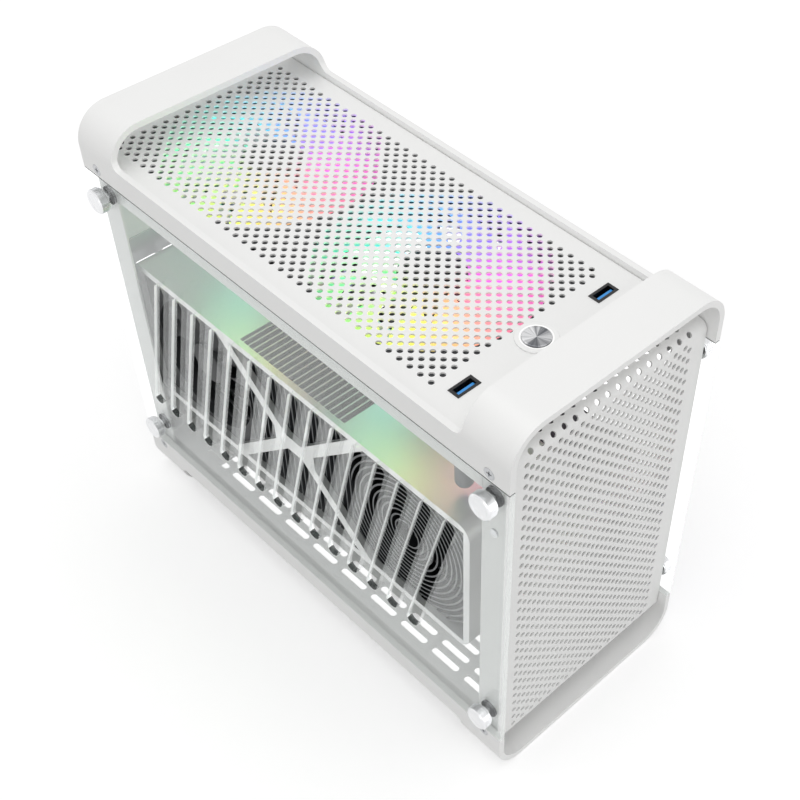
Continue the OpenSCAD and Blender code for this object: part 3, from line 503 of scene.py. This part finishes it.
def paintedLipGlowFinish(name, look):
    # Painted light: the lip round the cap gives off a painted glow, though it is no lamp; the flange
    # outside it is plain
    mat = makeFinish(name, look)
    tree = mat.node_tree
    shader = tree.nodes["Principled BSDF"]
    reach = aboutMiddle(tree, addNode(tree, "TexCoord").outputs["Object"], look["centre"])[1]
    paintedLipLight = addRange(tree, reach, 0.0, look["paintedLipGlowStrength"], *(r * mm for r in look["paintedLipGlowRadiiMm"]))
    tree.links.new(paintedLipLight, shader.inputs["Emission Strength"])
    shader.inputs["Emission Color"].default_value = white
    return mat


def glowFinish(name, centre, look):
    # Clear blades lit from the hub, the colour running once round the circle. They throw more
    # light on what is near than they show to the camera.
    mat, tree, shader, place = startFinish(name)
    local = addNode(tree, "Mapping", {"Location": [-c for c in centre]}, {"Vector": place})
    turn = addNode(tree, "TexGradient", {"gradient_type": "RADIAL"}, {"Vector": local.outputs[0]})
    ramp = addNode(tree, "ValToRGB", None, {"Fac": turn.outputs["Fac"]})
    stops = ramp.color_ramp.elements
    for i, (where, code) in enumerate(look["colours"]):
        stop = stops[i] if i < 2 else stops.new(where)
        stop.position, stop.color = where, hexColour(code)
    level = addRange(tree, addNoise(tree, place, look["cloudMm"], 2.0), *look["strength"])
    throw = addRange(tree, addNode(tree, "LightPath").outputs["Is Camera Ray"], look["throw"], 1.0)
    tree.links.new(ramp.outputs["Color"], shader.inputs["Base Color"])
    tree.links.new(ramp.outputs["Color"], shader.inputs["Emission Color"])
    tree.links.new(addMath(tree, "MULTIPLY", level, throw), shader.inputs["Emission Strength"])
    shader.inputs["Roughness"].default_value = look["rough"]
    return mat


def boardFinish(name, look):
    # Green solder mask over etched copper: tracks show as a slightly raised, lighter pattern
    mat, tree, shader, place = startFinish(name)
    tracks = addNode(tree, "TexVoronoi", {"feature": "DISTANCE_TO_EDGE", "distance": "EUCLIDEAN",
                                          "Scale": 1000 / look["trackMm"], "Randomness": 0.6},
                     {"Vector": place})
    lines = addRange(tree, tracks.outputs["Distance"], 0.0, 1.0, *look["trackShare"])
    tree.links.new(addTint(tree, lines, look["track"], look["mask"]), shader.inputs["Base Color"])
    tree.links.new(addBump(tree, lines, look["bumpStrength"], look["bumpMm"]), shader.inputs["Normal"])
    shader.inputs["Roughness"].default_value = look["rough"]
    return mat


# How far the phase of a wave texture runs in one unit of length, in radians
wavePhase = 20


def ribbonFinish(name, look):
    # Flat cable: rounded bundles of conductors side by side under black film
    mat = makeFinish(name, look)
    tree = mat.node_tree
    place = addNode(tree, "TexCoord").outputs["Object"]
    scale = 2 * math.pi / (wavePhase * look["ribMm"] * mm)
    ribs = addNode(tree, "TexWave", {"bands_direction": "Y", "Scale": scale}, {"Vector": place})
    bump = addBump(tree, ribs.outputs["Fac"], look["ribStrength"], look["ribDepthMm"])
    tree.links.new(bump, tree.nodes["Principled BSDF"].inputs["Normal"])
    return mat


# In film, the first number is how much of the face the film covers from outside and the second from
# inside it: on the pane a film of dust, on the walls and rim a cover that paints them pale, on the
# slot ends a cover that paints them dark. The rim glow is painted light that a rim gives off though it
# is no lamp; shade is what light on its way in keeps
paneOuter = abs(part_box("glass_left")[0].x)
finishes["panelGlass"] = glassFinish("toughened clear float glass", {
    "colour": "#EDEFEF", "drift": "#E4E8E7", "filmMm": 45, "rough": (0.01, 0.03),
    "film": (0.02, 0.02), "paintedRimGlow": 0.0, "gloss": "#E6E8E8", "shade": "#F4F6F5", "ior": 1.5})
# Polished walls of the slots are painted pale and given a painted glow, so that from outside they show
# as pale lines in place of the light that the pane gathers. Their painted brightness grows between two
# depths under the outer face.
finishes["glassEdge"] = glassFinish("polished rim of toughened glass, painted pale and glowing", {
    "colour": "#FBFDFC", "drift": "#F1F6F4", "filmMm": 8, "rough": (0.08, 0.16),
    "film": (0.9, 0.04), "paintedRimGlow": 0.55, "paintedBrightMm": (2.6, 1.6), "paintedDeepShare": 0.22,
    "gloss": "#FFFFFF", "shade": "#F4F6F5", "ior": 1.5})
# The ground rim is pale of its own; its faint glow is painted light
finishes["glassRim"] = glassFinish("ground outer rim of toughened glass, faint painted glow", {
    "colour": "#E9EEEC", "drift": "#DDE4E1", "filmMm": 8, "rough": (0.12, 0.22),
    "film": (0.5, 0.06), "paintedRimGlow": 0.08, "gloss": "#FFFFFF", "shade": "#F4F6F5", "ior": 1.5})
# Faces that look up, the lower ends of the slots and the top edge of the panel, are painted dark: a
# painted reflection of the dark inside of the case, and a painted shadow in the gap under the band
finishes["glassEndPaintedDark"] = glassFinish("polished slot end of toughened glass, painted dark", {
    "colour": "#363E3C", "drift": "#2A312F", "filmMm": 8, "rough": (0.05, 0.1),
    "film": (0.88, 0.1), "paintedRimGlow": 0.0, "gloss": "#FFFFFF", "shade": "#F4F6F5", "ior": 1.5})
glassParts = [finishes[k] for k in ("panelGlass", "glassEdge", "glassRim", "glassEndPaintedDark")]

buttonLow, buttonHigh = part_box("power_button")
buttonCentre = [(a + b) / 2 / mm for a, b in zip(buttonLow, buttonHigh)]
# Its dark rays are a painted sheen, laid into the base colour
finishes["spunButton"] = ringFinish("circular brushed aluminium with painted radial sheen", {
    "colour": "#F0F0F1", "drift": "#E6E7E9", "driftMm": 8, "grainMm": 0.3, "bumpMm": 0.004,
    "rough": (0.18, 0.28), "centre": buttonCentre, "ringMm": 0.35, "ringDepthMm": 0.03,
    "ringStrength": 0.6, "rays": 3.0, "paintedSheenShare": (0.4, 0.62), "paintedDarkRayColour": "#66686C",
    "shader": {"Metallic": 1.0}})
# Its lip gives off a painted glow, though it is no lamp
finishes["whiteRing"] = paintedLipGlowFinish("gloss white moulded ABS, painted glow at the lip", {
    "colour": "#F2F2F1", "drift": "#EDEDEC", "driftMm": 9, "grainMm": 0.5, "bumpMm": 0.005,
    "rough": (0.16, 0.24), "centre": buttonCentre, "paintedLipGlowRadiiMm": (9.5, 9.2), "paintedLipGlowStrength": 0.22})
finishes["greenBoard"] = boardFinish("green solder mask on glass-fibre board", {
    "mask": "#1F4A35", "track": "#2E6A4C", "trackMm": 5, "trackShare": (0.04, 0.09),
    "bumpMm": 0.04, "bumpStrength": 0.5, "rough": 0.32})
finishes["blackRibbon"] = ribbonFinish("black laminated flat cable", {
    "colour": "#1C1D1F", "drift": "#242528", "driftMm": 15, "grainMm": 0.5, "bumpMm": 0.01,
    "rough": (0.4, 0.5), "ribMm": 8.168, "ribDepthMm": 0.3, "ribStrength": 0.8})

# Every CAD node and the finish that it takes; a piece that replaces a node takes it too
nodeFinish = {
    "whiteBand": ["top_band", "bottom_band"],
    "whiteSheet": ["top_plate", "front_hood", "front_grille", "rear_panel", "base_tray",
                   "front_pillars", "top_rails", "divider"],
    "panelGlass": ["glass_left", "glass_right"],
    "brightScrew": ["thumbscrews_left", "thumbscrews_right"],
    "darkRubber": ["glass_washers"],
    "smallScrew": ["band_screws", "pillar_screws"],
    "spunButton": ["power_button"],
    "whiteRing": ["button_ring"],
    "blackPort": ["usb_shells"],
    "blackPlastic": ["card_duct", "card_fan_rear", "card_fan_front", "riser_socket", "memory_modules",
                     "board_slot", "cooler_fan", "supply_fan", "mains_inlet"],
    "blueTongue": ["usb_tongues"],
    "greyHousing": ["usb_housings"],
    "darkFan": ["fan_frame_rear", "fan_frame_front", "fan_rotor_rear", "fan_rotor_front"],
    "silverCard": ["card_frame", "card_backplate"],
    "darkFins": ["card_fins"],
    "darkRings": ["card_rings"],
    "greenBoard": ["card_board", "main_board"],
    "platedSteel": ["card_bracket", "io_shield", "io_ports"],
    "blackRibbon": ["riser_ribbon"],
    "brassPosts": ["board_standoffs"],
    "bareFins": ["cooler_fins"],
    "greySupply": ["supply_case"],
    "blackWire": ["supply_guard"],
    "blackLead": ["mains_lead"],
}
finishOf = {}
for key, members in nodeFinish.items():
    for node in members:
        finishOf[node] = finishes[key]
        for slot in nodes[node].material_slots:
            slot.material = finishes[key]

print("stage: broken edges")

# Width of the broken edge in millimetres, and the record's slot, for each piece
edgeLook = {
    "top_band": ("bandTop", 0.55, "white_band"), "bottom_band": ("bandBottom", 0.55, "white_band"),
    "glass_left": ("glassSlotted", 0.45, "panel_glass"),
    "glass_right": ("glassPlain", 0.45, "panel_glass"),
    "card_frame": ("cardFrame", 0.7, "silver_card"),
    "card_backplate": ("cardBackplate", 0.4, "silver_card"),
    "button_ring": ("buttonRing", 0.3, "white_ring"),
    "usb_shells": ("portShells", 0.12, "black_port"),
    "supply_case": ("supplyCase", 0.7, "grey_supply"),
    "mains_inlet": ("mainsInlet", 0.4, "black_plastic"),
    "fan_frame_rear": ("fanFrameRear", 0.5, "dark_fan"),
    "fan_frame_front": ("fanFrameFront", 0.5, "dark_fan"),
    "riser_socket": ("riserSocket", 0.4, "black_plastic"),
    "board_slot": ("boardSlot", 0.4, "black_plastic"),
}
for node, (name, width, slot) in edgeLook.items():
    if slot == "panel_glass":
        softenNode(node, name, width, glassParts, 12)
    else:
        softenNode(node, name, width, [finishOf[node]], 35)

print("stage: fans")

# The axis is the one that the hub's face looks along; sweep is in degrees from root to tip
fanLook = {
    "fan_rotor_rear": {"name": "rotorTopRear", "axis": "+Z", "blades": 9, "sweep": 34,
                       "hubShare": 40 / 131, "slot": "lit_blades"},
    "fan_rotor_front": {"name": "rotorTopFront", "axis": "+Z", "blades": 9, "sweep": 34,
                        "hubShare": 40 / 131, "slot": "lit_blades"},
    "card_fan_rear": {"name": "rotorCardRear", "axis": "-X", "blades": 11, "sweep": 26,
                      "hubShare": 30 / 90, "slot": "black_plastic"},
    "card_fan_front": {"name": "rotorCardFront", "axis": "-X", "blades": 11, "sweep": 26,
                       "hubShare": 30 / 90, "slot": "black_plastic"},
    "cooler_fan": {"name": "rotorCooler", "axis": "+X", "blades": 9, "sweep": 26,
                   "hubShare": 30 / 88, "slot": "black_plastic"},
    "supply_fan": {"name": "rotorSupply", "axis": "+X", "blades": 9, "sweep": 26,
                   "hubShare": 28 / 80, "slot": "black_plastic"},
}
# Millimetres and shares. A blade reaches chord of the pitch to either side of its middle line at
# the tip, and taper less at the root; fall is the share of its height that is lost at the tip.
# It starts sunk into the hub and is built as a grid of along by across faces.
bladeLook = {"thickness": 1.1, "chord": 0.44, "taper": 0.2, "edgeGap": 1.6, "fall": 0.25,
             "camber": 0.9, "along": 8, "across": 5, "sunk": 1}
hubLook = {"round": 1.8, "wall": 1.4, "roof": 3, "pinRadius": 2.2, "sleeveRadius": 4, "steps": 48}
glowLook = {
    "colours": [(0.0, "#CBF08A"), (1.0, "#CBF08A"), (0.09, "#F2EE80"), (0.17, "#F8CFA0"),
                (0.25, "#F89AB4"), (0.37, "#EE7ED8"), (0.48, "#BE86F6"), (0.57, "#92A6FA"),
                (0.67, "#7CDDF2"), (0.8, "#7EEFD2"), (0.92, "#9CEFA0")],
    "cloudMm": 30, "strength": (0.26, 0.62), "throw": 3.2, "rough": 0.3}


def addBlade(bm, place, turned, hub, tip, height, pitch, sweep):
    # A grid bent to a swept, cambered and twisted sheet, then given its thickness
    look = bladeLook
    made = bmesh.ops.create_grid(bm, x_segments=look["along"], y_segments=look["across"], size=1)
    root = hub - look["sunk"]
    for v in made["verts"]:
        u, w = (v.co.x + 1) / 2, v.co.y
        radius = root + u * (tip - root)
        chord = math.radians(pitch * look["chord"]) * (1 - look["taper"] + look["taper"] * u)
        turn = math.radians(turned + sweep * u * u) + w * chord
        rise = (height / 2 + w * (height / 2 - look["edgeGap"]) * (1 - look["fall"] * u)
                + look["camber"] * (1 - w * w))
        v.co = Vector((radius * math.cos(turn), radius * math.sin(turn), rise)) * mm
    faces = list({f for v in made["verts"] for f in v.link_faces})
    thick = bmesh.ops.solidify(bm, geom=faces, thickness=look["thickness"] * mm)
    shell = {f for f in faces if f.is_valid}
    shell |= {f for f in thick["geom"] if isinstance(f, bmesh.types.BMFace)}
    shell |= {f for g in list(shell) for e in g.edges for f in e.link_faces}
    bmesh.ops.recalc_face_normals(bm, faces=list(shell))
    for face in shell:
        face.material_index = 1
    bmesh.ops.transform(bm, matrix=place, verts=list({v for f in shell for v in f.verts}))


def buildRotor(node, look):
    low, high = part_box(node)
    along = 2 if look["axis"] == "+Z" else 0
    across = (along + 1) % 3
    height = (high[along] - low[along]) / mm
    tip = (high[across] - low[across]) / 2 / mm
    hub = tip * look["hubShare"]
    centre = (low + high) / 2
    centre[along] = high[along] if look["axis"] == "-X" else low[along]
    place = Matrix.Translation(centre) @ axisTurn[look["axis"]]
    top = height - hubLook["roof"]
    bend, inner = hubLook["round"], hub - hubLook["wall"]
    pin, sleeve = hubLook["pinRadius"], hubLook["sleeveRadius"]
    bm = bmesh.new()
    addSpun(bm, [(0, height), (hub - bend, height), (hub - 0.5, height - 0.5), (hub, height - bend),
                 (hub, 0), (inner, 0), (inner, top), (sleeve, top), (sleeve, 0.4), (pin, 0.4),
                 (pin, top + 0.4), (0, top + 0.4)], hubLook["steps"], place)
    pitch = 360 / look["blades"]
    for i in range(look["blades"]):
        addBlade(bm, place, pitch * i, hub, tip, height, pitch, look["sweep"])
    if look["slot"] == "lit_blades":
        litName = "clear polycarbonate blade lit from the hub, " + look["name"]
        mats = [finishes["darkFan"], glowFinish(litName, centre, glowLook)]
    else:
        mats = [finishes["blackPlastic"]] * 2
    return addPiece(bm, look["name"], [node], mats)


for node, look in fanLook.items():
    buildRotor(node, look)

print("stage: screws and button")

screwLook = {"headRadius": 8.0, "headHeight": 6.5, "standOff": 0.9, "neckRadius": 7.2,
             "chamfer": 0.8, "rimRound": 0.4, "dishRadius": 5.6, "dishSlope": 0.6, "dishDepth": 0.35,
             "shankRadius": 2.0, "shankTip": 0.5, "steps": 72, "knurlDepth": 0.22, "knurlLand": 0.08}


def screwProfile(look, shank):
    # Points (radius, height) from the dish of the head down to the tip of the shank
    rim, face = look["headRadius"], look["headHeight"]
    dish = face - look["dishDepth"]
    chamfer, bend, stand = look["chamfer"], look["rimRound"], look["standOff"]
    core, point = look["shankRadius"], look["shankTip"]
    return [(0, dish), (look["dishRadius"] - look["dishSlope"], dish), (look["dishRadius"], face),
            (rim - chamfer, face), (rim, face - chamfer), (rim, stand + bend), (rim - bend, stand),
            (look["neckRadius"], stand), (look["neckRadius"], 0), (core, 0), (core, -shank + point),
            (core - point, -shank), (0, -shank)]


def buildThumbscrews(node, name, side):
    # Turned head with a knurled rim, a shallow dish and a neck against the glass
    low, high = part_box(node)
    look = screwLook
    face, rim = look["headHeight"], look["headRadius"]
    profile = screwProfile(look, (high.x - low.x) / mm - face)
    seatX = (low.x if side < 0 else high.x) - side * face * mm
    turn = axisTurn["-X" if side < 0 else "+X"]
    bm = bmesh.new()
    for y in (low.y + rim * mm, high.y - rim * mm):
        for z in (low.z + rim * mm, high.z - rim * mm):
            middles = {f: f.calc_center_median() for f in addSpun(bm, profile, look["steps"])}
            rimFaces = [f for f, middle in middles.items()
                        if middle.xy.length > (rim - 0.05) * mm and abs(f.normal.z) < 0.1]
            rimFaces.sort(key=lambda f: math.atan2(middles[f].y, middles[f].x))
            bmesh.ops.inset_individual(bm, faces=rimFaces[::2], thickness=look["knurlLand"] * mm,
                                       depth=-look["knurlDepth"] * mm)
            # Screws that are in place already are tagged
            bmesh.ops.transform(bm, matrix=Matrix.Translation((seatX, y, z)) @ turn,
                                verts=[v for v in bm.verts if not v.tag])
            for v in bm.verts:
                v.tag = True
    return addPiece(bm, name, [node], [finishes["brightScrew"]], sharp=30)


buildThumbscrews("thumbscrews_left", "thumbscrewsLeft", -1)
buildThumbscrews("thumbscrews_right", "thumbscrewsRight", 1)

capLook = {"radius": 8.1, "height": 6.0, "edge": 0.5, "heel": 0.3, "dishRadius": 6.9,
           "dishDepth": 0.5, "dishSteps": 6, "dishCurve": 0.8, "stemRadius": 2.0, "steps": 96}


def buildButton():
    # Solid cap with a rolled edge and a shallow spun dish, on its stem
    low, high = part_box("power_button")
    look = capLook
    r, e, h, heel = look["radius"], look["edge"], look["height"], look["heel"]
    stem, foot = look["stemRadius"], h - (high.z - low.z) / mm
    place = Matrix.Translation(((low.x + high.x) / 2, (low.y + high.y) / 2, high.z - h * mm))
    shares = [k / look["dishSteps"] for k in range(look["dishSteps"] + 1)]
    dish = [(look["dishRadius"] * u, h - look["dishDepth"] * (1 - u ** 2) ** look["dishCurve"])
            for u in shares]
    bm = bmesh.new()
    addSpun(bm, dish + [(r - e, h), (r - e * 0.3, h - e * 0.3), (r, h - e), (r, heel), (r - heel, 0),
                        (stem, 0), (stem, foot), (0, foot)], look["steps"], place)
    mats = [finishes["spunButton"]]
    return addPiece(bm, "buttonCap", ["power_button"], mats, sharp=30)


buildButton()

print("stage: ports")

tongueLook = {"halfWidth": 5.8, "edge": 0.25, "contacts": 5, "contactWidth": 1.1,
              "contactLength": 6.0, "contactGap": 0.8, "contactSunk": 0.15, "contactRise": 0.15,
              "pitch": 2.2}


def buildTongues():
    # Blue carrier with a row of gold contacts on its face, one for each port
    low, high = (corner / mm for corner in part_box("usb_tongues"))
    look = tongueLook
    half, w = look["halfWidth"], look["contactWidth"] / 2
    front = high.y - look["contactRise"]
    bm = bmesh.new()
    for middle in (low.x + half, high.x - half):
        addBlock(bm, (middle - half, low.y, low.z), (middle + half, front, high.z), look["edge"])
        for i in range(look["contacts"]):
            x = middle + (i - (look["contacts"] - 1) / 2) * look["pitch"]
            addBlock(bm, (x - w, front - look["contactSunk"], high.z - look["contactLength"]),
                     (x + w, high.y, high.z - look["contactGap"]), 0.05, 1)
    mats = [finishes["blueTongue"], finishes["goldContact"]]
    return addPiece(bm, "portTongues", ["usb_tongues"], mats)


buildTongues()

print("stage: board parts")

# Places are (along Y, up Z) from the lower front corner of the board, in millimetres. A chip is
# its place, its two sides and its height. The dots are scattered over dotArea.
boardLook = {
    "chokes": 7, "chokePlace": (46, 149), "chokeSide": 8.5, "chokeHeight": 6, "chokePitch": 11,
    "cans": 8, "canPlace": (46, 164), "canPitch": 10, "canRadius": 3.0, "canHeight": 7.5,
    "chips": ((92, 22, 26, 26, 2.2), (128, 64, 9, 9, 1.2), (34, 60, 6, 12, 1.2), (34, 84, 6, 6, 1.1),
              (34, 100, 6, 8, 1.1), (132, 84, 7, 7, 1.2), (60, 40, 10, 8, 1.2), (132, 104, 7, 5, 1.1),
              (130, 126, 9, 9, 1.3), (26, 24, 6, 30, 1.2)),
    "dots": 26, "dotArea": ((54, 150), (24, 54)), "dotSize": (0.7, 1.8, 1.0),
    "cellPlace": (70, 32), "cellRadius": 9.6, "cellHeight": 4.2, "holderRadius": 10.6}


def buildBoardParts():
    # Chokes, capacitors, chips and a coin cell on the face of the main board
    low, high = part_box("main_board")
    face, y0, z0 = high.x / mm, low.y / mm, low.z / mm
    look = boardLook

    def seat(y, z):
        return Matrix.Translation(Vector((face, y0 + y, z0 + z)) * mm) @ axisTurn["+X"]

    def block(y, z, depth, rise, height, edge, index):
        addBlock(bm, (face, y0 + y, z0 + z), (face + height, y0 + y + depth, z0 + z + rise),
                 edge, index)

    bm = bmesh.new()
    side = look["chokeSide"]
    y, z = look["chokePlace"]
    for i in range(look["chokes"]):
        block(y + i * look["chokePitch"], z, side, side, look["chokeHeight"], 0.6, 0)
    r, h = look["canRadius"], look["canHeight"]
    canProfile = [(0, h), (r - 0.6, h), (r - 0.1, h - 0.4), (r, h - 0.9), (r, 1.6), (r - 0.3, 1.2),
                  (r, 0.9), (r, 0), (0, 0)]
    y, z = look["canPlace"]
    for i in range(look["cans"]):
        addSpun(bm, canProfile, 24, seat(y + i * look["canPitch"], z), 1)
    for chip in look["chips"]:
        block(*chip, 0.25, 2)
    height, depth, rise = look["dotSize"]
    for i in range(look["dots"]):
        y, z = (random.uniform(*span) for span in look["dotArea"])
        block(y, z, depth, rise, height, 0.1, 3)
    r, h = look["cellRadius"], look["cellHeight"]
    holder = look["holderRadius"]
    addSpun(bm, [(0, h), (r - 1, h), (r - 0.2, h - 0.4), (r, h - 1), (r, 1), (holder, 1), (holder, 0),
                 (0, 0)], 40, seat(*look["cellPlace"]), 4)
    mats = [finishes[k] for k in ("ferriteGrey", "platedSteel", "blackPlastic", "goldContact",
                                  "platedSteel")]
    return addPiece(bm, "boardParts", [], mats, body="chassis")


buildBoardParts()

print("stage: done")
